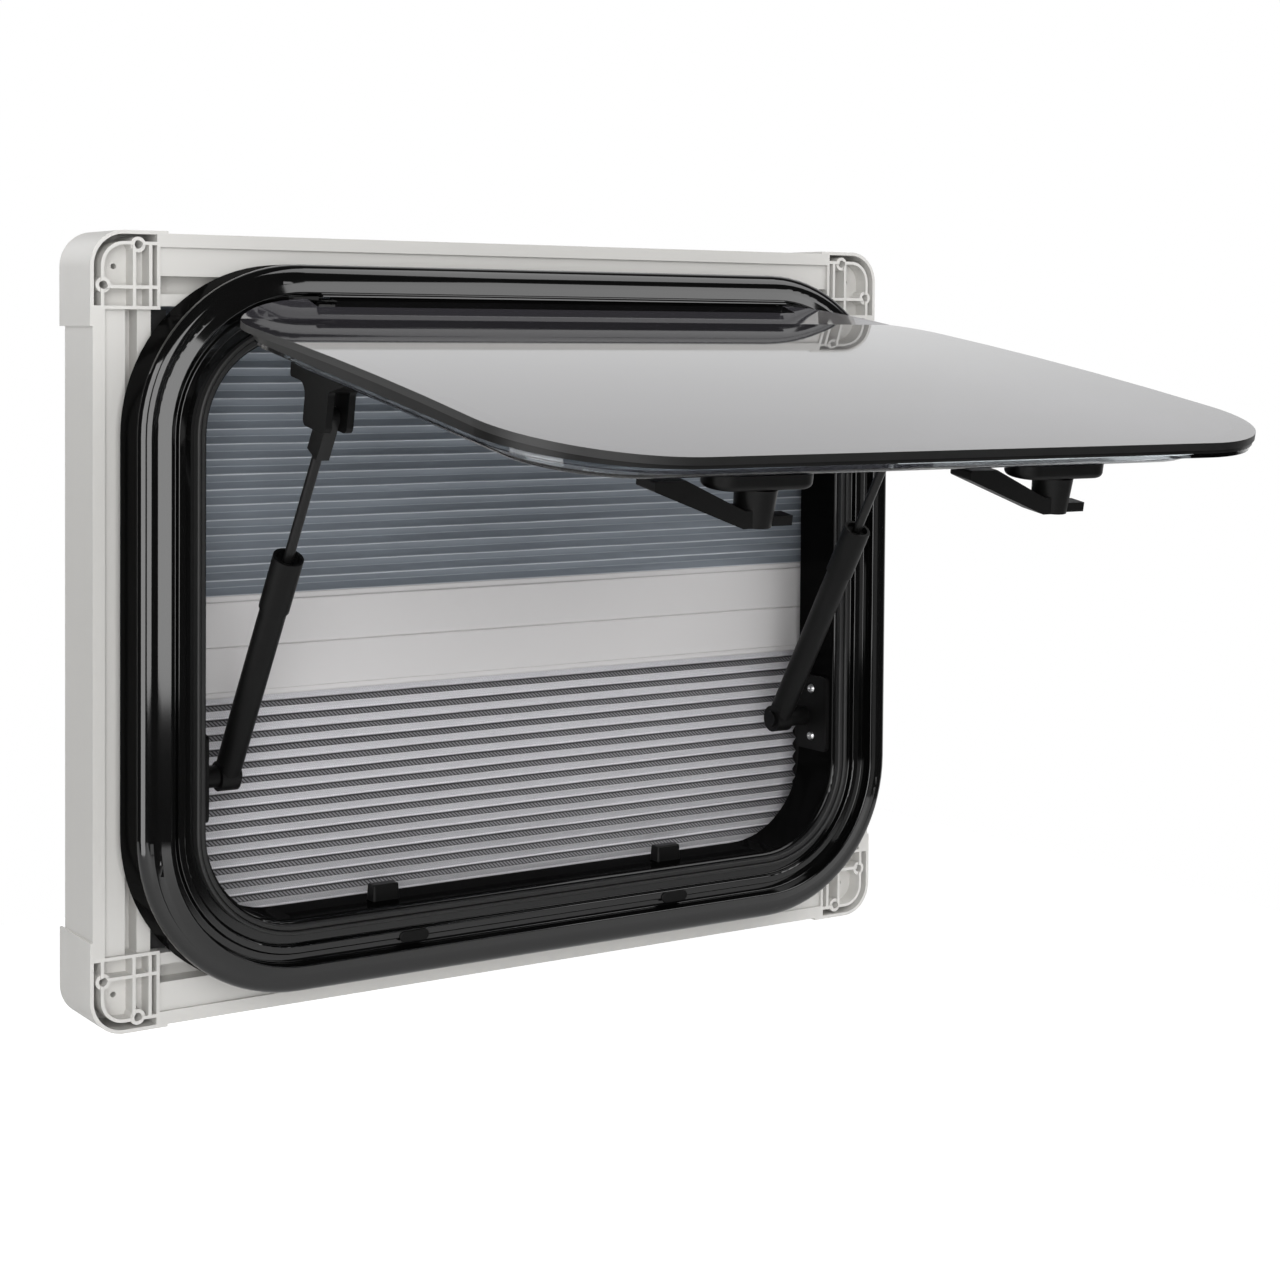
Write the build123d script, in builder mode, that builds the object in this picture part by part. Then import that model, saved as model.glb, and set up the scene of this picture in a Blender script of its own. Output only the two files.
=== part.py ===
"""Top-hung push-out window for a caravan wall, with a blind frame behind it.

Axes: X to the right seen from outside, Y into the vehicle, Z up.
The origin is the middle of the outer frame's back, where it seats on the wall.
The sash stands open, held by its two telescopic stays.
"""
import math
import os

from build123d import *

# Outer frame: a bent aluminium section, measured inwards from its rim and outwards from the wall
frame_width = 550.0
frame_height = 433.0
frame_radius = 101.0
frame_band = 43.0
frame_wall = 3.0
foot_width = 14.0
skirt_height = 24.0
skirt_groove = 0.8
front_height = 33.0
front_width = 9.5
front_rounding = 7.0
front_hollow = 10.0
crest_inset = 17.3
crest_height = 36.4
groove_inset = 18.0
groove_width = 5.0
groove_height = 27.0
rib_width = 4.6
rib_height = 30.0
seat_height = 26.0
section_edge = 0.8
section_draft = 0.4
seat_rounding = 2.5
sleeve_depth = 12.0
sleeve_lip = 8.0

# Rubber seal with a bulb and a lower lip
seal_margin = 2.5
seal_width = 6.0
seal_height = 5.5
seal_bulb = 2.6
seal_lip_height = 4.0
seal_notch_depth = 1.0
seal_notch_width = 0.6
seal_edge = 1.1

# Hinge along the top
hinge_forward = 46.0
hinge_drop = 21.5
hinge_bead = 2.4
hinge_clearance = 0.3
hinge_socket_wall = 1.8
hinge_mouth_low = 150.0
hinge_mouth_high = 305.0
hinge_rail_margin = 4.0
hinge_foot = 3.0
hinge_neck = 2.4
hinge_plate = 2.0
hinge_bar_inset = 2.0

# Sash: double pane, sizes along the sash from the hinge axis
sash_open_angle = 80.0
sash_margin = 30.0
sash_margin_low = 18.5
sash_rear = -8.0
sash_top = 7.5
sash_radius = 80.0
notch_gap = 5.0
pane_edge = 5.2
pane_thickness = 4.0
pane_bow = 3.5
pane_crease = 34.0
pane_lip_sag = 0.5
band_width = 13.0
band_inset = 1.0
band_bottom = 11.2
inner_rim_inset = 2.0
inner_thickness = 2.5
dish_gap = 10.0
dish_gap_low = 10.5
dish_top = 26.0
dish_radius = 58.0
dish_depth = 24.7
dish_rounding = 5.0

# Telescopic stays
stay_inset = 25.0
stay_pivot_y = 2.7
stay_plate_margin = 4.5
stay_end_along = 94.4
stay_end_depth = 49.7
tube_radius = 8.0
tube_length = 161.0
collar_radius = 9.0
collar_length = 36.0
collar_recess = 3.0
collar_rim = 2.0
rod_radius = 3.0
rod_clearance = 0.3
rod_inside = 24.0
rod_bore = 104.0
eye_radius = 6.5
eye_width = 8.0
head_width = 13.0
head_length = 24.0
knuckle_radius = 9.0
knuckle_width = 12.0
pin_radius = 3.5
pin_boss = 3.0
pin_head = 2.0
pin_head_thickness = 1.5
pin_clearance = 0.08
side_clearance = 0.5

# Stay plates on the frame's sides and stay brackets on the sash
plate_thickness = 3.0
plate_width = 33.0
plate_height = 52.0
plate_rounding = 4.0
plate_center_y = -5.5
plate_rise = 3.5
cheek_thickness = 4.0
bracket_back = 34.0
bracket_front = 34.0
bracket_heel = 8.0
bracket_half = 14.0
bracket_heel_edge = 2.0
bracket_hollow = 8.0
bracket_knuckle = 4.0
bracket_toe = 3.0
fork_end = 8.0

# Turn latches and their catches
latch_inset = 133.0
latch_margin = 50.0
base_length = 63.0
base_width = 24.0
base_height = 8.0
base_edge = 3.0
boss_radius = 11.0
boss_height = 19.0
boss_taper = 4.0
lever_length = 66.0
lever_width = 16.0
lever_thickness = 9.0
lever_tip = 5.0
lever_tip_gap = 2.0
lever_tip_flat = 18.0
lever_edge = 1.5
lever_hollow = 5.0
tail_length = 21.0
tail_width = 10.0
tail_thickness = 5.0
arm_length = 18.0
arm_width = 14.0
arm_thickness = 4.0
arm_rounding = 6.5
latch_gap = 0.3
catch_offset = 7.0
catch_width = 19.0
catch_front = -11.5
catch_back = -1.5
catch_height = 10.0
catch_draft = 4.0
catch_corner = 2.0
catch_edge = 1.2

# Drain covers on the lower rib
drain_offset = 2.0
drain_length = 20.0
drain_width = 7.0
drain_height = 1.2
drain_edge = 0.6
drain_overhang = 0.6

# Blind frame behind the wall: hollow rails
blind_overhang_side = 16.0
blind_overhang_end = 18.5
blind_front = 5.4
blind_depth = 49.0
blind_back_edge = 6.0
blind_inner_edge = 2.0
rail_inset = 1.5
rail_wall = 2.0
side_rail = 36.7
side_lip = 7.5
side_step = 3.0
side_groove_start = 20.9
side_groove_end = 28.2
side_groove_depth = 15.0
cross_rail = 42.4
cross_lip = 7.9
cross_step = 2.0
cross_groove_start = 24.8
cross_groove_end = 35.4
cross_groove_depth = 16.0
guide_thickness = 2.0
guide_lip = 11.0
guide_back = 32.0

# Blind frame: moulded corner pieces
corner_length = 43.0
corner_height = 46.0
corner_radius = 21.0
corner_wall = 2.2
corner_channel = 4.3
corner_channel_depth = 30.0
corner_rib = 2.0
corner_cell_depth = 10.8
corner_rib_near = 26.0
corner_rib_far = 36.0
corner_rib_cross = 32.0
corner_lip_along = 5.0
corner_lip_up = 10.0
corner_boss_along = 29.6
corner_boss_up = 32.0
corner_boss_line = 8.3
corner_boss_radius = 4.6
corner_boss_setback = 1.0
corner_screw_radius = 2.5
corner_screw_depth = 26.0
corner_pin_along = 18.3
corner_pin_up = 21.0
corner_pin_radius = 1.7
corner_pin_depth = 8.0

# Pleated blind, insect screen and the two rails between them
pleat_sheet = 0.8
blackout_front = 20.0
blackout_pleat = 10.0
blackout_pitch = 9.3
blackout_gap = 6.0
screen_front = 28.0
screen_pleat = 9.0
screen_pitch = 9.0
screen_gap = 11.0
pull_rail_front = 18.0
pull_rail_depth = 18.0
pull_rail_gap = 5.0
pull_rail_edge = 1.2
pull_rail_lip = 3.5
pull_rail_lip_setback = 1.6
blackout_rail_top = 17.0
rails_meet = -14.0
screen_rail_bottom = -45.0

# Planes and places worked out from the sizes above
rim_x = frame_width / 2
rim_z = frame_height / 2
opening_x = rim_x - frame_band
opening_z = rim_z - frame_band
groove_end = groove_inset + groove_width
rib_end = groove_end + 2 * section_draft + rib_width
hinge_height = rim_z - hinge_drop
hinge_axis = Vector(0, -hinge_forward, hinge_height)
hinge_rail_half = rim_x - frame_radius - hinge_rail_margin
tilt = math.radians(90 - sash_open_angle)
sash_down = Vector(0, -math.cos(tilt), -math.sin(tilt))
sash_out = Vector(0, -math.sin(tilt), math.cos(tilt))
sash_plane = Plane(origin=hinge_axis, x_dir=(1, 0, 0), z_dir=sash_out)
sash_side = Plane(origin=hinge_axis, x_dir=sash_down, z_dir=(-1, 0, 0))
stay_x = opening_x - stay_inset
stay_pivot_z = frame_radius - rim_z + stay_plate_margin + plate_height / 2 - plate_rise
stay_foot = Vector(0, stay_pivot_y, stay_pivot_z)
stay_head = hinge_axis + sash_down * stay_end_along - sash_out * stay_end_depth
stay_span = (stay_head - stay_foot).length
stay_up = (stay_head - stay_foot).normalized()
sash_width = frame_width - 2 * sash_margin
sash_drop = hinge_height + rim_z - sash_margin_low
dish_width = 2 * (opening_x - dish_gap)
dish_bottom = hinge_height + opening_z - dish_gap_low
latch_x = opening_x - latch_inset
latch_along = sash_drop - latch_margin
blind_width = frame_width + 2 * blind_overhang_side
blind_height = frame_height + 2 * blind_overhang_end
rail_x = blind_width / 2 - rail_inset - side_rail
rail_z = blind_height / 2 - rail_inset - cross_rail
SIDES = (("left", -1), ("right", 1))
LEVELS = (("bottom", -1), ("top", 1))

os.makedirs("parts", exist_ok=True)


def save(builder, name):
    """Label one finished piece and write it as its own file."""
    builder.part.label = name
    export_step(builder.part, f"parts/{name}.step")


def frame_section():
    """The plane of the frame's section: X inwards from the rim, Y outwards from the wall."""
    start = (-(rim_x - frame_radius), 0, -rim_z)
    return Plane(origin=start, x_dir=(0, 0, 1), z_dir=(1, 0, 0))


# The frame's rim in the wall plane, which its section follows
with BuildLine(Plane.XZ) as rim:
    FilletPolyline((-rim_x, -rim_z), (rim_x, -rim_z), (rim_x, rim_z), (-rim_x, rim_z),
                   radius=frame_radius, close=True)
rim_path = rim.wires()[0]

# Outer frame: skirt, rounded front that rises to a crest, groove, rib, seat and sleeve
with BuildPart() as outer_frame:
    with BuildSketch(frame_section()):
        hollow = frame_band - frame_wall
        step = crest_inset - frame_wall
        corners = [
            ((0, 0), 0),
            ((0, skirt_height), 0),
            ((skirt_groove, skirt_height + skirt_groove), 0),
            ((0, skirt_height + 2 * skirt_groove), 0),
            ((0, front_height), front_rounding),
            ((front_width, front_height), front_hollow),
            ((crest_inset, crest_height), section_edge),
            ((groove_inset, groove_height), section_edge),
            ((groove_end, groove_height), section_edge),
            ((groove_end + section_draft, rib_height), section_edge),
            ((rib_end - section_draft, rib_height), section_edge),
            ((rib_end, seat_height), section_edge),
            ((frame_band, seat_height), seat_rounding),
            ((frame_band, -sleeve_depth), 0),
            ((hollow - sleeve_lip, -sleeve_depth), 0),
            ((hollow - sleeve_lip, frame_wall - sleeve_depth), 0),
            ((hollow, frame_wall - sleeve_depth), 0),
            ((hollow, seat_height - frame_wall), 0),
            ((step, seat_height - frame_wall), 0),
            ((step, front_height - frame_wall), 0),
            ((frame_wall, front_height - frame_wall), front_rounding - frame_wall),
            ((frame_wall, frame_wall), 0),
            ((foot_width, frame_wall), 0),
            ((foot_width, 0), 0),
        ]
        with BuildLine():
            FilletPolyline(*[point for point, _ in corners], radius=[r for _, r in corners], close=True)
        make_face()
    sweep(path=rim_path)
save(outer_frame, "outer_frame")

# Rubber seal on the seat that the sash closes on: a bulb towards the rim and a lower lip
with BuildPart() as frame_seal:
    with BuildSketch(frame_section()):
        seal_outer = frame_band - seal_margin - seal_width
        seal_inner = frame_band - seal_margin
        with BuildLine():
            FilletPolyline(
                (seal_outer, seat_height),
                (seal_outer, seat_height + seal_height),
                (seal_outer + seal_bulb, seat_height + seal_height),
                (seal_outer + seal_bulb, seat_height + seal_lip_height - seal_notch_depth),
                (seal_outer + seal_bulb + seal_notch_width, seat_height + seal_lip_height),
                (seal_inner, seat_height + seal_lip_height),
                (seal_inner, seat_height),
                radius=[0, seal_edge, seal_edge, 0, 0, seal_edge, 0],
                close=True,
            )
        make_face()
    sweep(path=rim_path)
save(frame_seal, "frame_seal")

# Hinge rail: a socket open to the front, on a foot that stands in the groove
socket_radius = hinge_bead + hinge_clearance
socket_outer = socket_radius + hinge_socket_wall
with BuildPart() as hinge_rail:
    with BuildSketch(Plane(origin=hinge_axis, x_dir=(0, 1, 0), z_dir=(1, 0, 0))):
        Circle(socket_outer)
        foot_reach = hinge_forward - groove_height
        foot_rise = hinge_drop - groove_inset - groove_width / 2
        with Locations((foot_reach / 2, foot_rise)):
            Rectangle(foot_reach, hinge_foot)
        Circle(socket_radius, mode=Mode.SUBTRACT)
        with BuildLine():
            mouth = 2 * socket_outer
            low, high = math.radians(hinge_mouth_low), math.radians(hinge_mouth_high)
            Polyline(
                (0, 0),
                (mouth * math.cos(low), mouth * math.sin(low)),
                (-mouth, -mouth),
                (mouth * math.cos(high), mouth * math.sin(high)),
                close=True,
            )
        make_face(mode=Mode.SUBTRACT)
    extrude(amount=hinge_rail_half, both=True)
save(hinge_rail, "hinge_rail")

# Catch blocks and drain covers on the lower side of the frame
for side, sign in SIDES:
    with BuildPart() as catch:
        with BuildSketch(Plane.XY.offset(-opening_z)):
            with Locations((sign * (latch_x + catch_offset), (catch_front + catch_back) / 2)):
                RectangleRounded(catch_width, catch_back - catch_front, catch_corner)
        extrude(amount=catch_height, taper=catch_draft)
        fillet(catch.faces().sort_by(Axis.Z)[-1].edges(), catch_edge)
    save(catch, f"catch_{side}")

    with BuildPart() as drain:
        drain_place = rib_end - section_draft - drain_width / 2 - drain_overhang
        with BuildSketch(Plane.XZ.offset(rib_height)):
            with Locations((sign * (latch_x - drain_offset), drain_place - rim_z)):
                SlotOverall(drain_length, drain_width)
        extrude(amount=drain_height)
        fillet(drain.faces().sort_by(Axis.Y)[0].edges(), drain_edge)
    save(drain, f"drain_cover_{side}")


def rail_profile(width, lip, step, groove_start, groove_stop, groove_depth):
    """A blind rail's section: X in from its outer face, Y back from its front lip."""
    with BuildLine() as outline:
        FilletPolyline(
            (0, 0), (lip, 0), (lip, step), (groove_start, step), (groove_start, groove_depth),
            (groove_stop, groove_depth), (groove_stop, step), (width, step),
            (width, blind_depth), (0, blind_depth),
            radius=[0, 0, 0, 0, 0, 0, 0, 0, blind_inner_edge, blind_back_edge],
            close=True,
        )
    make_face(outline.edges())
    front_end = groove_start - rail_wall
    back_start = groove_depth + rail_wall
    for left, right, top, bottom in (
        (rail_wall, front_end, step + rail_wall, groove_depth),
        (rail_wall, width - rail_wall, back_start, blind_depth - rail_wall),
    ):
        with Locations(((left + right) / 2, (top + bottom) / 2)):
            RectangleRounded(right - left, bottom - top, rail_wall, mode=Mode.SUBTRACT)


# Blind frame: two upright and two cross rails between four corner pieces
for side, sign in SIDES:
    with BuildPart() as side_extrusion:
        with BuildSketch(Plane(origin=(sign * (blind_width / 2 - rail_inset), blind_front, 0),
                               x_dir=(-sign, 0, 0), z_dir=(0, 0, -sign))):
            rail_profile(side_rail, side_lip, side_step, side_groove_start, side_groove_end,
                         side_groove_depth)
        extrude(amount=blind_height / 2 - corner_height, both=True)
    save(side_extrusion, f"blind_frame_{side}")

for level, up in LEVELS:
    with BuildPart() as cross_extrusion:
        with BuildSketch(Plane(origin=(0, blind_front, up * (blind_height / 2 - rail_inset)),
                               x_dir=(0, 0, -up), z_dir=(up, 0, 0))):
            rail_profile(cross_rail, cross_lip, cross_step, cross_groove_start, cross_groove_end,
                         cross_groove_depth)
        extrude(amount=blind_width / 2 - corner_length, both=True)
    save(cross_extrusion, f"blind_frame_{level}")


def corner_field(inset, mode=Mode.ADD):
    """The corner piece's face inside its walls, in from its outer edge by the inset."""
    far = corner_length - corner_rib
    top = corner_height - corner_rib
    with BuildLine() as outline:
        FilletPolyline((inset, inset), (far, inset), (far, top), (inset, top),
                       radius=[corner_radius - inset, 0, 0, 0], close=True)
    make_face(outline.edges(), mode=mode)


# Moulded corner pieces: outer wall with lips over the rails, channel, ribs, cells and screw bosses
for level, up in LEVELS:
    for side, sign in SIDES:
        face = Plane(origin=(sign * blind_width / 2, blind_front, up * blind_height / 2),
                     x_dir=(-sign, 0, 0), z_dir=(0, -sign * up, 0))
        back = -sign * up
        rib_line = corner_wall + corner_channel
        bosses = ((corner_boss_along, corner_boss_line), (corner_boss_line, corner_boss_up))
        with BuildPart() as corner:
            with BuildSketch(face):
                with BuildLine():
                    FilletPolyline(
                        (0, 0), (corner_length, 0), (corner_length, corner_height),
                        (0, corner_height),
                        radius=[corner_radius, 0, 0, 0], close=True,
                    )
                make_face()
                with Locations((corner_length + corner_lip_along / 2, rail_inset / 2)):
                    Rectangle(corner_lip_along, rail_inset)
                with Locations((rail_inset / 2, corner_height + corner_lip_up / 2)):
                    Rectangle(rail_inset, corner_lip_up)
            extrude(amount=back * blind_depth)
            with BuildSketch(face):
                corner_field(corner_wall)
                corner_field(rib_line, mode=Mode.SUBTRACT)
            extrude(amount=back * corner_channel_depth, mode=Mode.SUBTRACT)
            with BuildSketch(face):
                corner_field(rib_line + corner_rib)
                for rib in (corner_rib_near, corner_rib_far):
                    with Locations((rib + corner_rib / 2, corner_height / 2)):
                        Rectangle(corner_rib, corner_height, mode=Mode.SUBTRACT)
                with Locations((corner_length / 2, corner_rib_cross + corner_rib / 2)):
                    Rectangle(corner_length, corner_rib, mode=Mode.SUBTRACT)
            extrude(amount=back * corner_cell_depth, mode=Mode.SUBTRACT)
            with BuildSketch(face.offset(back * corner_boss_setback)):
                with Locations(*bosses):
                    Circle(corner_boss_radius)
            extrude(amount=back * (corner_channel_depth - corner_boss_setback))
            with BuildSketch(face):
                with Locations(*bosses):
                    Circle(corner_screw_radius)
            extrude(amount=back * corner_screw_depth, mode=Mode.SUBTRACT)
            with BuildSketch(face.offset(back * corner_cell_depth)):
                with Locations((corner_pin_along, corner_pin_up)):
                    Circle(corner_pin_radius)
            extrude(amount=back * corner_pin_depth, mode=Mode.SUBTRACT)
        save(corner, f"corner_{level}_{side}")

# Dark guides that the pleated sheets run in
for side, sign in SIDES:
    with BuildPart() as guide:
        with BuildSketch(Plane(origin=(sign * rail_x, sleeve_depth, 0), x_dir=(-sign, 0, 0),
                               z_dir=(0, 0, -sign))):
            with BuildLine():
                Polyline(
                    (0, 0), (guide_lip, 0), (guide_lip, guide_thickness),
                    (guide_thickness, guide_thickness),
                    (guide_thickness, guide_back - guide_thickness),
                    (guide_lip, guide_back - guide_thickness), (guide_lip, guide_back),
                    (0, guide_back), close=True,
                )
            make_face()
        extrude(amount=blind_height / 2 - corner_height, both=True)
    save(guide, f"guide_{side}")


def pleats(low, high, front, depth, pitch):
    """Corner points of a folded sheet's section, up its front side and down its back side."""
    folds = 2 * round((high - low) / pitch)
    step = (high - low) / folds
    front_side = []
    back_side = []
    for fold in range(folds + 1):
        z = low + fold * step
        y = front if fold % 2 else front + depth
        front_side.append((y, z))
        back_side.insert(0, (y + pleat_sheet, z))
    return front_side + back_side


with BuildPart() as blackout_blind:
    with BuildSketch(Plane.YZ):
        with BuildLine():
            Polyline(*pleats(blackout_rail_top, rail_z, blackout_front, blackout_pleat,
                             blackout_pitch), close=True)
        make_face()
    extrude(amount=rail_x - blackout_gap, both=True)
save(blackout_blind, "blackout_blind")

with BuildPart() as insect_screen:
    with BuildSketch(Plane.YZ):
        with BuildLine():
            Polyline(*pleats(-rail_z, screen_rail_bottom, screen_front, screen_pleat,
                             screen_pitch), close=True)
        make_face()
    extrude(amount=rail_x - screen_gap, both=True)
save(insect_screen, "insect_screen")

# Pull rails that meet face to face, each with a set-back lip along its sheet
for name, meet, end in (("blackout_rail", rails_meet, blackout_rail_top),
                        ("screen_rail", rails_meet, screen_rail_bottom)):
    lip_start = end - math.copysign(pull_rail_lip, end - meet)
    pull_rail_back = pull_rail_front + pull_rail_depth
    with BuildPart() as pull_rail:
        with BuildSketch(Plane.YZ):
            with BuildLine():
                FilletPolyline(
                    (pull_rail_front, meet), (pull_rail_front, lip_start),
                    (pull_rail_front + pull_rail_lip_setback, lip_start),
                    (pull_rail_front + pull_rail_lip_setback, end),
                    (pull_rail_back, end), (pull_rail_back, meet),
                    radius=[pull_rail_edge, pull_rail_edge, 0, pull_rail_edge, pull_rail_edge,
                            pull_rail_edge],
                    close=True,
                )
            make_face()
        extrude(amount=rail_x - pull_rail_gap, both=True)
    save(pull_rail, name)


def sash_outline(rear, inset, mode=Mode.ADD):
    """The sash's outline seen from outside, from its rear edge, in from its edge by the inset."""
    with Locations((0, -(rear + sash_drop) / 2)):
        RectangleRounded(sash_width - 2 * inset, sash_drop - rear - 2 * inset, sash_radius - inset, mode=mode)


def pane_line(depth):
    """The outer pane along the sash, at a depth below its face: a lip behind the hinge, then a bow."""
    edge = -pane_edge - depth
    lip_middle = (sash_rear + pane_crease) / 2
    ThreePointArc((sash_rear, -depth), (lip_middle, -pane_edge / 2 - pane_lip_sag - depth), (pane_crease, edge))
    ThreePointArc((pane_crease, edge), ((pane_crease + sash_drop) / 2, edge + pane_bow), (sash_drop, edge))


# Sash: outer pane, with a notch at the back for the hinge
with BuildPart() as outer_pane:
    with BuildSketch(sash_side):
        with BuildLine():
            pane_line(0)
            pane_line(pane_thickness)
            Line((sash_rear, 0), (sash_rear, -pane_thickness))
            Line((sash_drop, -pane_edge), (sash_drop, -pane_edge - pane_thickness))
        make_face()
    extrude(amount=sash_width / 2, both=True)
    with BuildSketch(sash_plane.offset(-dish_depth)):
        sash_outline(sash_rear, 0)
        with Locations((0, -sash_rear)):
            Rectangle(2 * (hinge_rail_half + notch_gap), 2 * (sash_top - sash_rear), mode=Mode.SUBTRACT)
    extrude(amount=2 * dish_depth, mode=Mode.INTERSECT)
save(outer_pane, "outer_pane")

# Sash: black edge band between the two panes
with BuildPart() as edge_band:
    with BuildSketch(sash_side):
        with BuildLine():
            pane_line(pane_thickness)
            Polyline((sash_rear, -pane_thickness), (sash_rear, -band_bottom), (sash_drop, -band_bottom),
                     (sash_drop, -pane_edge - pane_thickness))
        make_face()
    extrude(amount=sash_width / 2, both=True)
    with BuildSketch(sash_plane.offset(-dish_depth)):
        sash_outline(sash_top, band_inset)
        sash_outline(sash_top, band_width, mode=Mode.SUBTRACT)
    extrude(amount=2 * dish_depth, mode=Mode.INTERSECT)
save(edge_band, "edge_band")

# Sash: clear inner pane, a shallow dish
dish_length = dish_bottom - dish_top
dish_middle = (dish_top + dish_bottom) / 2
with BuildPart() as inner_pane:
    with BuildSketch(sash_plane.offset(-band_bottom - inner_thickness)):
        sash_outline(sash_top, inner_rim_inset)
    extrude(amount=inner_thickness)
    with BuildSketch(sash_plane.offset(-dish_depth)):
        with Locations((0, -dish_middle)):
            RectangleRounded(dish_width, dish_length, dish_radius)
    extrude(amount=dish_depth - band_bottom)
    fillet(inner_pane.faces().sort_by(Axis(hinge_axis, sash_out))[0].edges(), dish_rounding)
    with BuildSketch(sash_plane.offset(inner_thickness - dish_depth)):
        with Locations((0, -dish_middle)):
            RectangleRounded(dish_width - 2 * inner_thickness, dish_length - 2 * inner_thickness,
                             dish_radius - inner_thickness)
    extrude(amount=dish_depth, mode=Mode.SUBTRACT)
save(inner_pane, "inner_pane")

# Sash: hinge bar with a round bead that turns in the rail, and a plate along the panes' edges
with BuildPart() as hinge_bar:
    with BuildSketch(sash_side):
        Circle(hinge_bead)
        with Locations((sash_top / 2, 0)):
            Rectangle(sash_top, hinge_neck)
        with Locations((sash_top - hinge_plate / 2, (hinge_neck / 2 - band_bottom) / 2)):
            Rectangle(hinge_plate, hinge_neck / 2 + band_bottom)
    extrude(amount=sash_width / 2 - sash_radius - hinge_bar_inset, both=True)
save(hinge_bar, "hinge_bar")

# Stay brackets on the sash and stay plates on the frame's sides
for side, sign in SIDES:
    cheek = eye_width / 2 + side_clearance + cheek_thickness
    heel = -dish_depth - bracket_heel
    with BuildPart() as bracket:
        with BuildSketch(sash_side.offset(-sign * stay_x)):
            with BuildLine():
                FilletPolyline(
                    (stay_end_along - bracket_back, -dish_depth),
                    (stay_end_along - bracket_back, heel),
                    (stay_end_along - bracket_half, heel),
                    (stay_end_along - bracket_half, -stay_end_depth - eye_radius),
                    (stay_end_along + bracket_half, -stay_end_depth - eye_radius),
                    (stay_end_along + bracket_half, heel),
                    (stay_end_along + bracket_front, -dish_depth),
                    radius=[0, bracket_heel_edge, bracket_hollow, bracket_knuckle, bracket_knuckle,
                            bracket_toe, 0],
                    close=True,
                )
            make_face()
        extrude(amount=cheek, both=True)
        with BuildSketch(sash_side.offset(-sign * stay_x)):
            fork_back = stay_end_along - 2 * bracket_back
            fork_front = stay_end_along + fork_end
            with Locations(((fork_back + fork_front) / 2, -stay_end_depth)):
                Rectangle(fork_front - fork_back, 2 * stay_end_depth)
            with Locations((stay_end_along, heel - stay_end_depth)):
                Rectangle(4 * bracket_front, 2 * stay_end_depth)
        extrude(amount=cheek - cheek_thickness, both=True, mode=Mode.SUBTRACT)
    save(bracket, f"stay_bracket_{side}")

    with BuildPart() as stay_plate:
        wall = Plane(origin=(sign * opening_x, 0, 0), x_dir=(0, 1, 0), z_dir=(sign, 0, 0))
        knuckle_edge = stay_x + knuckle_width / 2 + side_clearance
        boss = opening_x - plate_thickness - knuckle_edge
        pivot_end = plate_thickness + boss + knuckle_width + 2 * side_clearance
        with BuildSketch(wall.offset(-plate_thickness)):
            with Locations((plate_center_y, sign * (stay_pivot_z + plate_rise))):
                RectangleRounded(plate_width, plate_height, plate_rounding)
        extrude(amount=plate_thickness)
        for start, length, radius in (
            (plate_thickness, boss, pin_radius + pin_boss),
            (plate_thickness + boss, knuckle_width + 2 * side_clearance, pin_radius),
            (pivot_end, pin_head_thickness, pin_radius + pin_head),
        ):
            with BuildSketch(wall.offset(-start)):
                with Locations((stay_pivot_y, sign * stay_pivot_z)):
                    Circle(radius)
            extrude(amount=-length)
    save(stay_plate, f"stay_plate_{side}")

# Telescopic stays: a tube with a collar that turns on its plate, and the rod that slides in it
for side, sign in SIDES:
    foot = Vector(sign * stay_x, stay_pivot_y, stay_pivot_z)
    along = Plane(origin=foot, x_dir=(1, 0, 0), z_dir=stay_up)
    across = Plane(origin=foot, x_dir=(0, 1, 0), z_dir=(1, 0, 0))
    with BuildPart() as stay_tube:
        with BuildSketch(across.offset(-knuckle_width / 2)):
            Circle(knuckle_radius)
        extrude(amount=knuckle_width)
        with BuildSketch(along):
            Circle(tube_radius)
        extrude(amount=tube_length)
        with BuildSketch(along.offset(tube_length - collar_length)):
            Circle(collar_radius)
        extrude(amount=collar_length)
        with BuildSketch(across.offset(-knuckle_width)):
            Circle(pin_radius + pin_clearance)
        extrude(amount=2 * knuckle_width, mode=Mode.SUBTRACT)
        for end in (-1, 1):
            with BuildSketch(across.offset(end * knuckle_width / 2)):
                Circle(knuckle_radius + plate_thickness)
            extrude(amount=end * knuckle_width, mode=Mode.SUBTRACT)
        with BuildSketch(along.offset(tube_length - rod_bore)):
            Circle(rod_radius + rod_clearance)
        extrude(amount=rod_bore, mode=Mode.SUBTRACT)
        with BuildSketch(along.offset(tube_length - collar_recess)):
            Circle(collar_radius - collar_rim)
        extrude(amount=collar_recess, mode=Mode.SUBTRACT)
    save(stay_tube, f"stay_tube_{side}")

    head = Plane(origin=Vector(sign * stay_x, 0, 0) + stay_head, x_dir=(0, 1, 0), z_dir=(1, 0, 0))
    with BuildPart() as stay_rod:
        with BuildSketch(along.offset(tube_length - rod_inside)):
            Circle(rod_radius)
        extrude(amount=stay_span - tube_length + rod_inside - eye_radius / 2)
        with BuildSketch(head.offset(-eye_width / 2)):
            Circle(eye_radius)
        extrude(amount=eye_width)
        with BuildSketch(along.offset(stay_span - head_length)):
            Rectangle(eye_width, head_width)
        extrude(amount=head_length)
    save(stay_rod, f"stay_rod_{side}")

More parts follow.
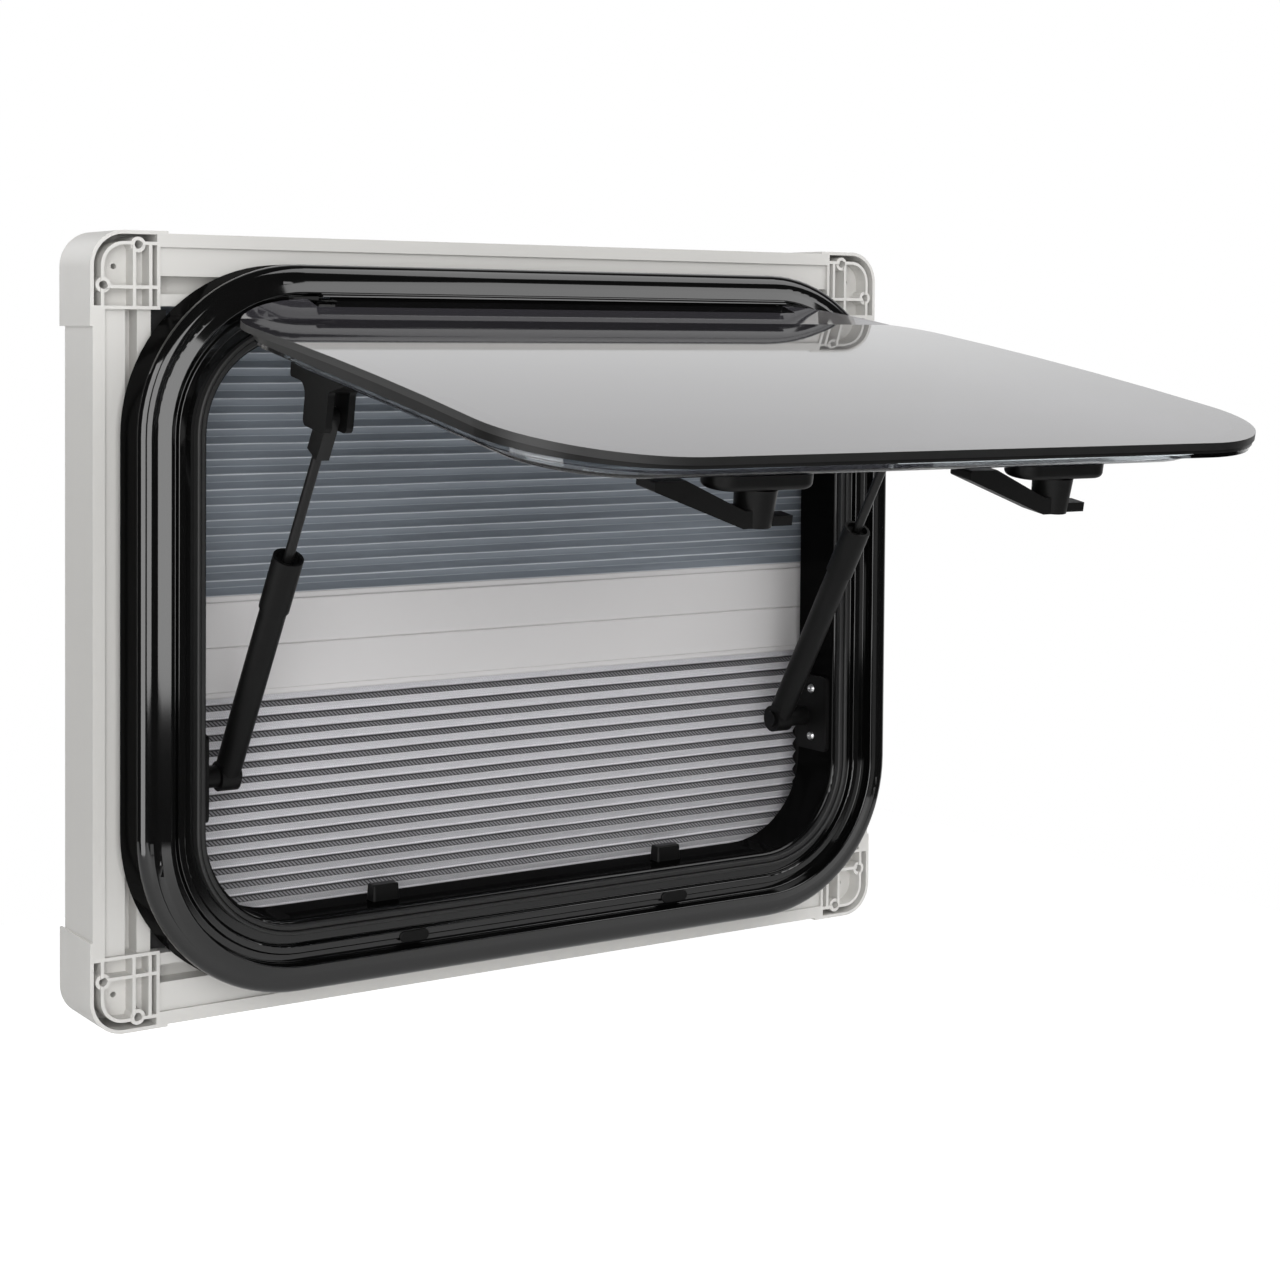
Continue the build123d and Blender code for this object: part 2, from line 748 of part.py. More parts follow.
# Turn latches: a base on the inner pane, and a lever with a hooked tail that turns on it
for side, sign in SIDES:
    pivot = sign * latch_x
    with BuildPart() as latch_base:
        with BuildSketch(sash_plane.offset(-dish_depth)):
            with Locations((pivot, -latch_along)):
                SlotOverall(base_length, base_width)
        extrude(amount=-base_height)
        fillet(latch_base.faces().sort_by(Axis(hinge_axis, sash_out))[0].edges(), base_edge)
    save(latch_base, f"latch_base_{side}")

    boss_start = dish_depth + base_height + latch_gap
    boss_end = boss_start + boss_height
    with BuildPart() as latch_lever:
        with BuildSketch(sash_plane.offset(-boss_start)):
            with Locations((pivot, -latch_along)):
                Circle(boss_radius)
        extrude(amount=-boss_height, taper=boss_taper)
        with BuildSketch(sash_plane.offset(-boss_end)):
            with Locations((pivot + tail_length / 2, -latch_along)):
                Rectangle(tail_length, tail_width)
        extrude(amount=tail_thickness)
        with BuildSketch(sash_plane.offset(-boss_end)):
            with Locations((pivot, arm_length / 2 - latch_along)):
                RectangleRounded(arm_width, arm_length + arm_width, arm_rounding)
        extrude(amount=arm_thickness)
        slope = Plane(origin=hinge_axis + sash_down * latch_along, x_dir=(1, 0, 0), z_dir=sash_down)
        with BuildSketch(slope):
            with BuildLine():
                tip = pivot - lever_length
                tip_face = -dish_depth - lever_tip_gap
                FilletPolyline(
                    (pivot, -boss_end), (pivot - boss_radius, -boss_end), (tip, tip_face - lever_tip),
                    (tip, tip_face), (tip + lever_tip_flat, tip_face),
                    (pivot - boss_radius, lever_thickness - boss_end), (pivot, lever_thickness - boss_end),
                    radius=[0, 0, lever_edge, lever_edge, 0, lever_hollow, 0],
                    close=True,
                )
            make_face()
        extrude(amount=lever_width / 2, both=True)
    save(latch_lever, f"latch_lever_{side}")
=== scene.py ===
"""Looks of a top-hung caravan window with its blind frame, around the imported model."""
import math

import bpy
from mathutils import Matrix, Vector


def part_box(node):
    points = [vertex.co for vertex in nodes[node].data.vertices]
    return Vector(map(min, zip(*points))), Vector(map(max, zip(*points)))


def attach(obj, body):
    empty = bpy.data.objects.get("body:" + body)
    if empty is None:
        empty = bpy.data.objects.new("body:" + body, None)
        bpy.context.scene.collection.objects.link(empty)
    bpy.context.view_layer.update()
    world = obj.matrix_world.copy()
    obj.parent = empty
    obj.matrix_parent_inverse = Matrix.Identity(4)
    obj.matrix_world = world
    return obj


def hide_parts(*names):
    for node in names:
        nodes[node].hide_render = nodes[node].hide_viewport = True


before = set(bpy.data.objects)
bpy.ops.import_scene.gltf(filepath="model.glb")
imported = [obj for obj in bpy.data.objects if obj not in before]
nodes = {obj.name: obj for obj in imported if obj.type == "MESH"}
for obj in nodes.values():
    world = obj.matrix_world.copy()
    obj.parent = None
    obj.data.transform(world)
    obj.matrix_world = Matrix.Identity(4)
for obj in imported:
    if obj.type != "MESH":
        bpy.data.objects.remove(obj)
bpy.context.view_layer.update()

# Camera: where the photographer stood, in metres and degrees
CAMERA_PLACE = (-0.8098, -1.3284, 0.1789)
CAMERA_YAW = 34.034
CAMERA_PITCH = 1.982
CAMERA_ROLL = 0.448
CAMERA_LENS = 68.22
CAMERA_SENSOR = 36.0
CAMERA_RISE = -0.1761

# Stage
FLOOR_HEIGHT = -0.62
FLOOR_SIZE = 3.6
FLOOR_SHADE = 0.8
FLOOR_GLOW = 0.6
ROOM_LEVEL = 0.35
MIRROR_ROOM_LEVEL = 0.03
BACKDROP_EDGE = (0.45, 0.75)

# Lamps: name, place, target, width and height in metres, watts, and whether it is only a reflection
LAMPS = (
    ("front_left_softbox", (-1.0, -2.0, 0.45), (0, 0, 0), 1.7, 1.7, 36.0, False),
    ("top_softbox", (1.15, -1.1, 1.55), (0, -0.1, 0.1), 1.4, 2.0, 24.0, False),
    ("left_card", (-1.67, -0.3, 0.2), (0, 0, 0), 1.2, 1.8, 27.0, True),
    ("back_fill", (-0.9, 2.0, 0.9), (0, 0, 0), 1.4, 1.4, 16.0, False),
)

# Pleated sheets, in metres
FOLD_STEPS = 6
PLEAT_SHARE = 0.4
SHEET_STRIPS = 160
BLACKOUT_PITCH = 0.0093
SCREEN_PITCH = 0.009
CREASE_WANDER = 0.0006
WANDER_ACROSS = 3.0
WANDER_UP = 0.7
WANDER_SCALE = 2.0
MESH_PITCH = 0.0012
MESH_OPENNESS = 0.35
HATCH_PITCH = 0.0026

# Marks on the sheets, as shares of a pleat, a thread or a hatch line
# Widths of the painted highlights along the front and back folds of the blackout cloth
FRONT_FOLD = 0.075
BACK_FOLD = 0.05
HOLE_SHARE = 0.42
HATCH_SHARE = 0.45
HATCH_SLANT = 3.0
# Widths of the painted shade on each pleat's under-face, its fade, and the painted shadow along the
# crease
UNDER_SHARE = 0.36
UNDER_FADE = 0.03
CREASE_SHARE = 0.11

# Screws in the stay plates, in metres
PLATE_THICKNESS = 0.003
SCREW_SIDES = 28
SCREW_RADIUS = 0.0032
SCREW_CROWN = 0.0024
SCREW_HEIGHT = 0.0016
SCREW_SLOT = 0.0034
SCREW_CUT = 0.0008
SCREW_EDGE = 0.0095
SCREW_SINK = 0.0001

# Where the dull skirt of the outer frame ends and how fast, in metres, and how much coat it has
SKIRT_LINE = -0.0245
SKIRT_FADE = 0.002
SKIRT_COAT = 0.04

# The way that the open sash's outer pane faces, which slopes down from its hinge
PANE_SLOPE = math.radians(10.0)
PANE_FACING = (0.0, -math.sin(PANE_SLOPE), math.cos(PANE_SLOPE))
PANE_COAT = 0.3
RIM_EDGE = (0.85, 0.6)

# Tints
PANE_TINT = (1.0, 0.96, 1.10)
DISH_TINT = (0.96, 1.0, 1.02)
SCREEN_TINT = (0.99, 0.98, 1.03)
PAINT_TINT = (1.0, 0.985, 0.95)
RAIL_TINT = (1.0, 0.98, 0.98)
CLOTH_TINT = (0.88, 0.98, 1.10)
# Tint of the painted highlights along the blackout cloth's folds
FOLD_HIGHLIGHT_TINT = (0.94, 0.99, 1.05)


class Wire:
    """An output socket of a node tree. Its operators add Math nodes."""

    def __init__(self, tree, socket=None):
        self.tree = tree
        self.socket = socket

    def add(self, kind, settings=None, sockets=None, output=0):
        """Add a node: its settings first, then values or wires for its sockets."""
        node = self.tree.nodes.new(kind)
        for name, value in (settings or {}).items():
            setattr(node, name, value)
        for name, value in (sockets or {}).items():
            if isinstance(value, Wire):
                self.tree.links.new(value.socket, node.inputs[name])
            else:
                node.inputs[name].default_value = value
        return Wire(self.tree, node.outputs[output])

    def math(self, operation, *values):
        """Add a Math node."""
        return self.add("ShaderNodeMath", {"operation": operation}, dict(enumerate(values)))

    def __add__(self, other):
        return self.math("ADD", self, other)

    __radd__ = __add__

    def __sub__(self, other):
        return self.math("SUBTRACT", self, other)

    def __rsub__(self, other):
        return self.math("SUBTRACT", other, self)

    def __mul__(self, other):
        return self.math("MULTIPLY", self, other)

    __rmul__ = __mul__

    def __truediv__(self, other):
        return self.math("DIVIDE", self, other)

    def smooth(self, low, high):
        """0 below low, 1 above high, smooth between; reversed if low is above high."""
        return self.add("ShaderNodeMapRange", {"interpolation_type": "SMOOTHSTEP"},
                        {"Value": self, "From Min": low, "From Max": high})

    def mix(self, first, second):
        """A colour from first to second, by this value."""
        return self.add("ShaderNodeMix", {"data_type": "RGBA"},
                        {"Factor": self, 6: first, 7: second}, output=2)


class Finish:
    """A material with one Principled shader. Constants go on the shader's own sockets."""

    def __init__(self, name, **constants):
        self.material = bpy.data.materials.new(name)
        self.material.use_nodes = True
        tree = self.material.node_tree
        self.shader = tree.nodes["Principled BSDF"]
        self.root = Wire(tree)
        for socket, value in constants.items():
            title = socket.replace("_", " ").title().replace("Ior", "IOR")
            self.shader.inputs[title].default_value = value

    def place(self, scale=(1, 1, 1)):
        """Object coordinates, scaled."""
        spot = self.root.add("ShaderNodeTexCoord", output="Object")
        return self.root.add("ShaderNodeMapping", {}, {"Vector": spot, "Scale": scale})

    def noise(self, scale, stretch=(1, 1, 1), detail=3.0):
        """Noise from 0 to 1, finer with scale, drawn out along an axis by a small stretch."""
        return self.root.add("ShaderNodeTexNoise", {},
                             {"Vector": self.place(stretch), "Scale": scale, "Detail": detail})

    def feed(self, socket, wire):
        """Lead a wire into one of the shader's sockets."""
        self.root.tree.links.new(wire.socket, self.shader.inputs[socket])

    def bump(self, height, strength, distance):
        """Raise the surface by a wire, to a distance in metres."""
        self.feed("Normal", self.root.add("ShaderNodeBump", {}, {
            "Height": height, "Strength": strength, "Distance": distance}))

    def give(self, *names):
        """Put this material on CAD nodes."""
        for name in names:
            for slot in nodes[name].material_slots:
                slot.material = self.material


def grey(value, tint=(1.0, 1.0, 1.0)):
    """A tinted grey as a colour."""
    return (value * tint[0], value * tint[1], value * tint[2], 1.0)


def sides(stem):
    """The left and the right node of a pair."""
    return [f"{stem}_left", f"{stem}_right"]


def gloss_black_frame():
    """Gloss black coat on the bent aluminium frame; its skirt, behind the bead, stays dull."""
    coat = Finish("gloss_black_frame", specular_ior_level=0.0, coat_ior=1.6, coat_roughness=0.07)
    cloud = coat.noise(14.0)
    ahead = coat.root.add("ShaderNodeSeparateXYZ", {}, {0: coat.place()}, output="Y")
    skirt = SKIRT_COAT + (1.0 - SKIRT_COAT) * ahead.smooth(SKIRT_LINE, SKIRT_LINE - SKIRT_FADE)
    coat.feed("Base Color", cloud.mix(grey(0.002), grey(0.004)))
    coat.feed("Roughness", 0.4 + 0.2 * cloud)
    coat.feed("Coat Weight", skirt)
    coat.bump(coat.noise(900.0, detail=1.0), 0.03, 0.0004)
    coat.give("outer_frame", "hinge_rail", "hinge_bar")


def seal_rubber():
    """Dull rubber of the seal."""
    rubber = Finish("seal_rubber", roughness=0.55)
    rubber.feed("Base Color", rubber.noise(60.0).mix(grey(0.008), grey(0.016)))
    rubber.bump(rubber.noise(700.0), 0.1, 0.0003)
    rubber.give("frame_seal")


def black_pane_edge():
    """Black border round the outer pane, softer than the pane's face."""
    edge = Finish("black_pane_edge", specular_ior_level=0.2)
    cloud = edge.noise(30.0)
    edge.feed("Base Color", cloud.mix(grey(0.004), grey(0.007)))
    edge.feed("Roughness", 0.30 + 0.1 * cloud)
    edge.give("edge_band")


def tinted_acrylic():
    """Dark acrylic that lets little light through, under a gloss coat, with a dull black rim."""
    pane = Finish("tinted_acrylic", ior=1.49, transmission_weight=0.6, coat_roughness=0.02)
    cloud = pane.noise(3.0)
    facing = pane.root.add("ShaderNodeTexCoord", output="Normal")
    upright = pane.root.add("ShaderNodeVectorMath", {"operation": "DOT_PRODUCT"},
                            {0: facing, 1: PANE_FACING}, output="Value")
    rim = upright.math("ABSOLUTE", upright).smooth(*RIM_EDGE)
    tint = cloud.mix(grey(0.10, PANE_TINT), grey(0.12, PANE_TINT))
    pane.feed("Base Color", rim.mix(tint, grey(0.003)))
    pane.feed("Roughness", 0.03 + 0.02 * cloud + 0.45 * rim)
    pane.feed("Coat Weight", PANE_COAT - PANE_COAT * rim)
    pane.give("outer_pane")


def clear_acrylic():
    """The thin clear dish: it bends light little and shines from its coat."""
    pane = Finish("clear_acrylic", ior=1.12, transmission_weight=1.0, coat_weight=0.8,
                  coat_roughness=0.02)
    cloud = pane.noise(4.0)
    pane.feed("Base Color", cloud.mix(grey(0.88, DISH_TINT), grey(0.93, DISH_TINT)))
    pane.feed("Roughness", 0.01 + 0.02 * cloud)
    pane.give("inner_pane")


def grained_black_plastic():
    """Moulded black plastic with a fine grain."""
    plastic = Finish("grained_black_plastic", specular_ior_level=0.16)
    cloud = plastic.noise(40.0)
    plastic.feed("Base Color", cloud.mix(grey(0.003), grey(0.006)))
    plastic.feed("Roughness", 0.38 + 0.12 * cloud)
    plastic.bump(plastic.noise(1800.0, detail=2.0), 0.12, 0.0003)
    plastic.give(*sides("catch"), *sides("drain_cover"), *sides("stay_plate"),
                 *sides("stay_bracket"), *sides("latch_base"), *sides("latch_lever"),
                 *sides("stay_tube"))


def black_steel_rod():
    """Blackened rods of the stays."""
    rod = Finish("black_steel_rod", metallic=0.6)
    drawn = rod.noise(90.0, stretch=(1, 0.2, 0.2))
    rod.feed("Base Color", drawn.mix(grey(0.012), grey(0.02)))
    rod.feed("Roughness", 0.28 + 0.1 * drawn)
    rod.give(*sides("stay_rod"))


def black_guide():
    """Black plastic guides, drawn lengthwise."""
    guide = Finish("black_guide")
    drawn = guide.noise(60.0, stretch=(1, 1, 0.05))
    guide.feed("Base Color", drawn.mix(grey(0.008), grey(0.016)))
    guide.feed("Roughness", 0.35 + 0.1 * drawn)
    guide.give(*sides("guide"))


def painted_extrusion(name, along, targets):
    """Warm white paint on an extrusion, with faint drawing lines along it."""
    paint = Finish(name, ior=1.46)
    stretch = tuple(0.04 if axis == along else 1.0 for axis in range(3))
    drawn = paint.noise(160.0, stretch)
    cloud = paint.noise(6.0)
    paint.feed("Base Color", cloud.mix(grey(0.60, PAINT_TINT), grey(0.65, PAINT_TINT)))
    paint.feed("Roughness", 0.34 + 0.1 * drawn)
    paint.bump(drawn, 0.05, 0.0003)
    paint.give(*targets)


def moulded_corner():
    """Grey-white moulded plastic of the corner pieces."""
    corner = Finish("moulded_corner", ior=1.46)
    cloud = corner.noise(30.0)
    corner.feed("Base Color", cloud.mix(grey(0.60, PAINT_TINT), grey(0.68, PAINT_TINT)))
    corner.feed("Roughness", 0.42 + 0.1 * cloud)
    corner.bump(corner.noise(900.0), 0.05, 0.0003)
    corner.give(*sides("corner_top"), *sides("corner_bottom"))


def satin_pull_rail():
    """Painted aluminium pull rails with lines drawn along them."""
    rail = Finish("satin_pull_rail", ior=1.46)
    drawn = rail.noise(220.0, stretch=(0.03, 1, 1))
    rail.feed("Base Color", rail.noise(5.0).mix(grey(0.62, RAIL_TINT), grey(0.67, RAIL_TINT)))
    rail.feed("Roughness", 0.32 + 0.12 * drawn)
    rail.bump(drawn, 0.06, 0.0003)
    rail.give("blackout_rail", "screen_rail")


def sheet_folds(finish):
    """Metres across the sheet, pleats counted from below, and the share of the way up a pleat."""
    spot = finish.root.add("ShaderNodeUVMap", {"uv_map": "cut"})
    across = finish.root.add("ShaderNodeSeparateXYZ", {}, {0: spot}, output="X")
    pleat = 0.5 * finish.root.add("ShaderNodeSeparateXYZ", {}, {0: spot}, output="Y")
    return across, pleat, pleat.math("FRACT", pleat)


def ridge(place, middle, half):
    """1 where a value is at the middle, 0 at half a width away."""
    away = place.math("ABSOLUTE", place - middle)
    return away.smooth(half, 0.0)


def silver_blackout():
    """Blue-grey coated cloth, with painted highlights along the front folds and fainter ones along
    the back folds.
    """
    cloth = Finish("silver_blackout", metallic=0.2)
    climb = sheet_folds(cloth)[2]
    cloud = cloth.noise(7.0, stretch=(1, 1, 4))
    streak = cloth.noise(50.0, stretch=(1, 0.1, 0.1))
    front_fold = climb.math("MAXIMUM", ridge(climb, 0.0, FRONT_FOLD),
                            ridge(climb, 1.0, FRONT_FOLD))
    back_fold = ridge(climb, 0.5, BACK_FOLD)
    # Painted highlight: a pale colour mixed in along the front folds, and more faintly along the
    # back folds
    painted_fold_highlight = front_fold * (0.65 + 0.35 * streak) + back_fold * (0.20 + 0.2 * streak)
    colour = cloud.mix(grey(0.20, CLOTH_TINT), grey(0.36, CLOTH_TINT))
    cloth.feed("Base Color", painted_fold_highlight.mix(colour, grey(0.85, FOLD_HIGHLIGHT_TINT)))
    cloth.feed("Roughness", 0.45 - 0.1 * front_fold)
    cloth.bump(cloth.noise(1500.0), 0.08, 0.0002)
    return cloth


def woven_screen():
    """Insect mesh: pale threads with open holes; under-faces darkened with hatched painted shade,
    below a black painted shadow along the crease.
    """
    mesh = Finish("woven_screen", roughness=0.6)
    across, pleat, climb = sheet_folds(mesh)
    thread_x = across / MESH_PITCH
    thread_y = pleat * (SCREEN_PITCH / MESH_PITCH)
    gap_x = ridge(thread_x.math("FRACT", thread_x), 0.5, HOLE_SHARE)
    gap_y = ridge(thread_y.math("FRACT", thread_y), 0.5, HOLE_SHARE)
    thread = 1.0 - MESH_OPENNESS * gap_x * gap_y
    speckle = mesh.noise(1400.0, detail=1.0)
    slant = across / HATCH_PITCH + climb * HATCH_SLANT
    hatch = ridge(slant.math("FRACT", slant), 0.5, HATCH_SHARE)
    # Painted shade: each pleat's under-face is darkened and made opaque, and a black painted shadow
    # runs along its creases
    painted_under_shade = climb.smooth(UNDER_SHARE + UNDER_FADE, UNDER_SHARE) * climb.smooth(-0.01, UNDER_FADE)
    painted_crease_shadow = ridge(climb, UNDER_SHARE, CREASE_SHARE) + ridge(climb, 0.02, 0.05) * 0.6
    pale = speckle.mix(grey(0.50, SCREEN_TINT), grey(0.78, SCREEN_TINT))
    shaded = (painted_under_shade * (0.6 + 0.4 * hatch)).mix(pale, grey(0.015))
    mesh.feed("Base Color", painted_crease_shadow.mix(shaded, grey(0.006)))
    mesh.feed("Alpha", thread.math("MAXIMUM", thread, painted_under_shade.math("MAXIMUM", painted_under_shade, painted_crease_shadow)))
    return mesh


def open_tree(title, kinds):
    """A new geometry tree, its input sockets, and the wires that come from them."""
    tree = bpy.data.node_groups.new(title, "GeometryNodeTree")
    sockets = {name: tree.interface.new_socket(name, in_out="INPUT", socket_type="NodeSocket" + kind)
               for name, kind in kinds.items()}
    tree.interface.new_socket("Geometry", in_out="OUTPUT", socket_type="NodeSocketGeometry")
    entry = tree.nodes.new("NodeGroupInput")
    return tree, sockets, {name: Wire(tree, entry.outputs[name]) for name in kinds}


def close_tree(root, shape, material):
    """Give a shape its material and lead it out of its tree."""
    real = root.add("GeometryNodeRealizeInstances", {}, {"Geometry": shape})
    done = root.add("GeometryNodeSetMaterial", {}, {"Geometry": real, "Material": material})
    leave = root.tree.nodes.new("NodeGroupOutput")
    root.tree.links.new(done.socket, leave.inputs["Geometry"])


def bake(name, tree, sockets, values):
    """The mesh that a node tree makes from its values, as an object of its own."""
    maker = bpy.data.objects.new(name + "_maker", bpy.data.meshes.new(name))
    bpy.context.collection.objects.link(maker)
    modifier = maker.modifiers.new("maker", "NODES")
    modifier.node_group = tree
    for key, value in values.items():
        modifier[sockets[key].identifier] = value
    ready = maker.evaluated_get(bpy.context.evaluated_depsgraph_get())
    piece = bpy.data.objects.new(name, bpy.data.meshes.new_from_object(ready))
    bpy.context.collection.objects.link(piece)
    bpy.data.objects.remove(maker)
    return piece


def zigzag_tree():
    """Geometry nodes that fold a flat grid into pleats and keep the cut's own map on it."""
    kinds = {name: "Float" for name in ("Width", "Low", "High", "Front", "Depth", "Folds")}
    tree, sockets, given = open_tree("pleated_sheet", {**kinds, "Cloth": "Material"})
    root = Wire(tree)
    rows = given["Folds"] * FOLD_STEPS + 1.0
    grid = root.add("GeometryNodeMeshGrid", {}, {
        "Size X": 1.0, "Size Y": 1.0, "Vertices X": SHEET_STRIPS, "Vertices Y": rows})
    spot = root.add("GeometryNodeInputPosition")
    across = root.add("ShaderNodeSeparateXYZ", {}, {0: spot}, output=0)
    up = root.add("ShaderNodeSeparateXYZ", {}, {0: spot}, output=1) + 0.5
    fold = up * given["Folds"]
    phase = fold.math("PINGPONG", fold, 1.0)
    drift = root.add("ShaderNodeCombineXYZ", {}, {0: across * WANDER_ACROSS, 1: fold * WANDER_UP})
    wander = root.add("ShaderNodeTexNoise", {"noise_dimensions": "2D"},
                      {"Vector": drift, "Scale": WANDER_SCALE, "Detail": 1.0})
    shift = (wander - 0.5) * CREASE_WANDER
    x = across * given["Width"]
    y = given["Front"] + phase * given["Depth"]
    z = given["Low"] + up * (given["High"] - given["Low"]) + shift
    cut = root.add("ShaderNodeCombineXYZ", {}, {0: x, 1: fold})
    mapped = root.add("GeometryNodeStoreNamedAttribute", {"data_type": "FLOAT2", "domain": "CORNER"},
                      {"Geometry": grid, "Name": "cut", "Value": cut})
    moved = root.add("GeometryNodeSetPosition", {}, {
        "Geometry": mapped, "Position": root.add("ShaderNodeCombineXYZ", {}, {0: x, 1: y, 2: z})})
    close_tree(root, moved, given["Cloth"])
    return tree, sockets


def pleated_sheet(name, node, pitch, cloth, tree, sockets):
    """A pleated sheet in the place of its CAD node."""
    low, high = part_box(node)
    folds = 2 * round((high[2] - low[2]) / pitch)
    depth = PLEAT_SHARE * (high[1] - low[1])
    values = {"Width": high[0] - low[0], "Low": low[2], "High": high[2], "Front": low[1],
              "Depth": depth, "Folds": float(folds), "Cloth": cloth.material}
    sheet = bake(name, tree, sockets, values)
    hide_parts(node)
    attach(sheet, "frame")
    "blackout_cloth" if "blackout" in name else "screen_mesh"


def screw_tree():
    """Geometry nodes for two pan-head screws with a cross recess, one a step away from the other."""
    tree, sockets, given = open_tree("screw_pair", {
        "First": "Vector", "Step": "Vector", "Turn": "Vector", "Steel": "Material"})
    root = Wire(tree)
    head = root.add("GeometryNodeMeshCone", {}, {
        "Vertices": SCREW_SIDES, "Radius Top": SCREW_CROWN, "Radius Bottom": SCREW_RADIUS,
        "Depth": SCREW_HEIGHT})
    for size in ((SCREW_SLOT, SCREW_CUT, SCREW_HEIGHT), (SCREW_CUT, SCREW_SLOT, SCREW_HEIGHT)):
        bar = root.add("GeometryNodeMeshCube", {}, {"Size": size})
        raised = root.add("GeometryNodeTransform", {}, {
            "Geometry": bar, "Translation": (0, 0, SCREW_HEIGHT)})
        head = root.add("GeometryNodeMeshBoolean", {"operation": "DIFFERENCE"},
                        {"Mesh 1": head, "Mesh 2": raised})
    places = root.add("GeometryNodeMeshLine", {}, {
        "Count": 2, "Start Location": given["First"], "Offset": given["Step"]})
    copies = root.add("GeometryNodeInstanceOnPoints", {}, {
        "Points": places, "Instance": head, "Rotation": given["Turn"]})
    close_tree(root, copies, given["Steel"])
    return tree, sockets


def bright_steel():
    """Plated screw steel with turning marks."""
    steel = Finish("bright_steel", metallic=1.0)
    mark = steel.noise(900.0)
    steel.feed("Base Color", mark.mix(grey(0.55), grey(0.72)))
    steel.feed("Roughness", 0.22 + 0.15 * mark)
    return steel


def plate_screws():
    """Two screws in the inner face of each stay plate."""
    tree, sockets = screw_tree()
    steel = bright_steel()
    for side, inward in (("left", 1), ("right", -1)):
        low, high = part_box("stay_plate_" + side)
        wall = low[0] if inward > 0 else high[0]
        seat = wall + inward * (PLATE_THICKNESS - SCREW_SINK)
        first = (seat, (low[1] + high[1]) / 2, low[2] + SCREW_EDGE)
        piece = bake("plate_screws_" + side, tree, sockets, {
            "First": first, "Step": (0.0, 0.0, high[2] - low[2] - 2 * SCREW_EDGE),
            "Turn": (0.0, inward * math.pi / 2, 0.0), "Steel": steel.material})
        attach(piece, "frame")


def dress():
    """Give every piece its finish, and add the sheets and screws."""
    gloss_black_frame()
    seal_rubber()
    black_pane_edge()
    tinted_acrylic()
    clear_acrylic()
    grained_black_plastic()
    black_steel_rod()
    black_guide()
    painted_extrusion("painted_upright", 2, sides("blind_frame"))
    painted_extrusion("painted_crosspiece", 0, ["blind_frame_top", "blind_frame_bottom"])
    moulded_corner()
    satin_pull_rail()
    pleats = zigzag_tree()
    pleated_sheet("blackout_pleats", "blackout_blind", BLACKOUT_PITCH, silver_blackout(), *pleats)
    plate_screws()
    pleated_sheet("screen_pleats", "insect_screen", SCREEN_PITCH, woven_screen(), *pleats)


def aim(place, target):
    """A turn that looks from place to target."""
    return (Vector(target) - Vector(place)).to_track_quat("-Z", "Y").to_euler()


def set_camera():
    """Place the camera and return the direction that it looks in."""
    yaw, pitch, roll = (math.radians(turn) for turn in (CAMERA_YAW, CAMERA_PITCH, CAMERA_ROLL))
    flat = math.cos(pitch)
    forward = Vector((math.sin(yaw) * flat, math.cos(yaw) * flat, -math.sin(pitch)))
    level = Vector((math.cos(yaw), -math.sin(yaw), 0))
    upright = level.cross(forward)
    right = math.cos(roll) * level + math.sin(roll) * upright
    up = math.cos(roll) * upright - math.sin(roll) * level
    turn = Matrix((right, up, -forward)).transposed().to_4x4()
    data = bpy.data.cameras.new("photo_camera")
    data.lens = CAMERA_LENS
    data.sensor_width = CAMERA_SENSOR
    data.shift_y = CAMERA_RISE
    camera = bpy.data.objects.new("photo_camera", data)
    camera.matrix_world = Matrix.Translation(CAMERA_PLACE) @ turn
    bpy.context.collection.objects.link(camera)
    bpy.context.scene.camera = camera
    return forward


def softbox(name, place, target, width, height, power, card):
    """A lamp with a rectangular face. A card shows only as a reflection."""
    data = bpy.data.lights.new(name, "AREA")
    data.shape = "RECTANGLE"
    data.size = width
    data.size_y = height
    data.energy = power
    lamp = bpy.data.objects.new(name, data)
    lamp.location = place
    lamp.rotation_euler = aim(place, target)
    lamp.visible_camera = False
    lamp.visible_diffuse = not card
    bpy.context.collection.objects.link(lamp)


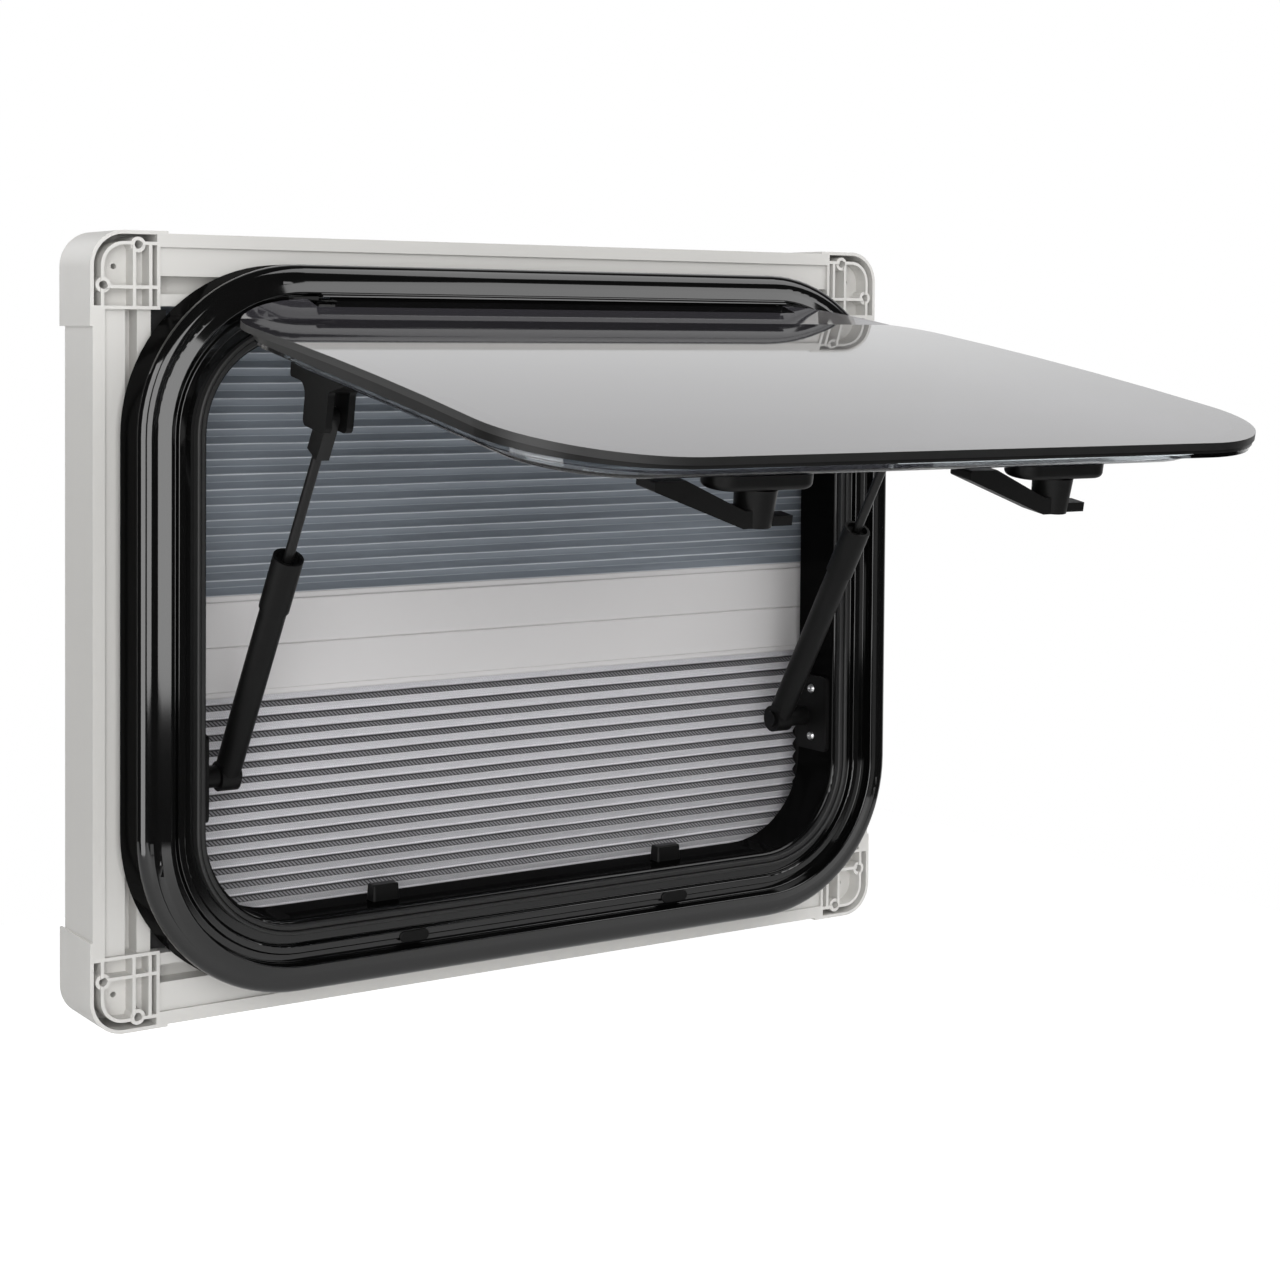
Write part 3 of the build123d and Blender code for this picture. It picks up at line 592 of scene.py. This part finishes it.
def white_studio(forward):
    """White behind the object for camera, mirror and glass; a dim room elsewhere."""
    world = bpy.data.worlds.new("white_studio")
    bpy.context.scene.world = world
    world.use_nodes = True
    tree = world.node_tree
    root = Wire(tree)
    seen = root.add("ShaderNodeLightPath", output="Is Camera Ray")
    glass = root.add("ShaderNodeLightPath", output="Is Transmission Ray")
    mirror = root.add("ShaderNodeLightPath", output="Is Glossy Ray")
    heading = root.add("ShaderNodeTexCoord", output="Generated")
    behind = root.add("ShaderNodeVectorMath", {"operation": "DOT_PRODUCT"},
                      {0: heading, 1: tuple(forward)}, output="Value")
    backdrop = behind.smooth(*BACKDROP_EDGE)
    plain = seen.math("MAXIMUM", seen, glass)
    white = plain.math("MAXIMUM", plain, mirror * backdrop)
    dark = mirror * (1.0 - backdrop) * (ROOM_LEVEL - MIRROR_ROOM_LEVEL)
    strength = ROOM_LEVEL + white * (1.0 - ROOM_LEVEL) - dark
    shade = tree.nodes["Background"]
    shade.inputs["Color"].default_value = grey(1.0)
    tree.links.new(strength.socket, shade.inputs["Strength"])


def pale_floor():
    """A pale floor, white to the camera where it is lit, that keeps the object's shadow."""
    data = bpy.data.meshes.new("floor")
    half = FLOOR_SIZE / 2
    corners = [(x * half, y * half, FLOOR_HEIGHT) for x, y in ((-1, -1), (1, -1), (1, 1), (-1, 1))]
    data.from_pydata(corners, [], [(0, 1, 2, 3)])
    floor = bpy.data.objects.new("floor", data)
    bpy.context.collection.objects.link(floor)
    white = Finish("floor_white", base_color=grey(FLOOR_SHADE), roughness=0.9,
                   emission_strength=1.0)
    seen = white.root.add("ShaderNodeLightPath", output="Is Camera Ray")
    glass = white.root.add("ShaderNodeLightPath", output="Is Transmission Ray")
    white.feed("Emission Color", FLOOR_GLOW * seen.math("MAXIMUM", seen, glass))
    data.materials.append(white.material)


dress()
view_forward = set_camera()
white_studio(view_forward)
pale_floor()
for lamp_values in LAMPS:
    softbox(*lamp_values)
bpy.context.scene.view_settings.view_transform = "Standard"
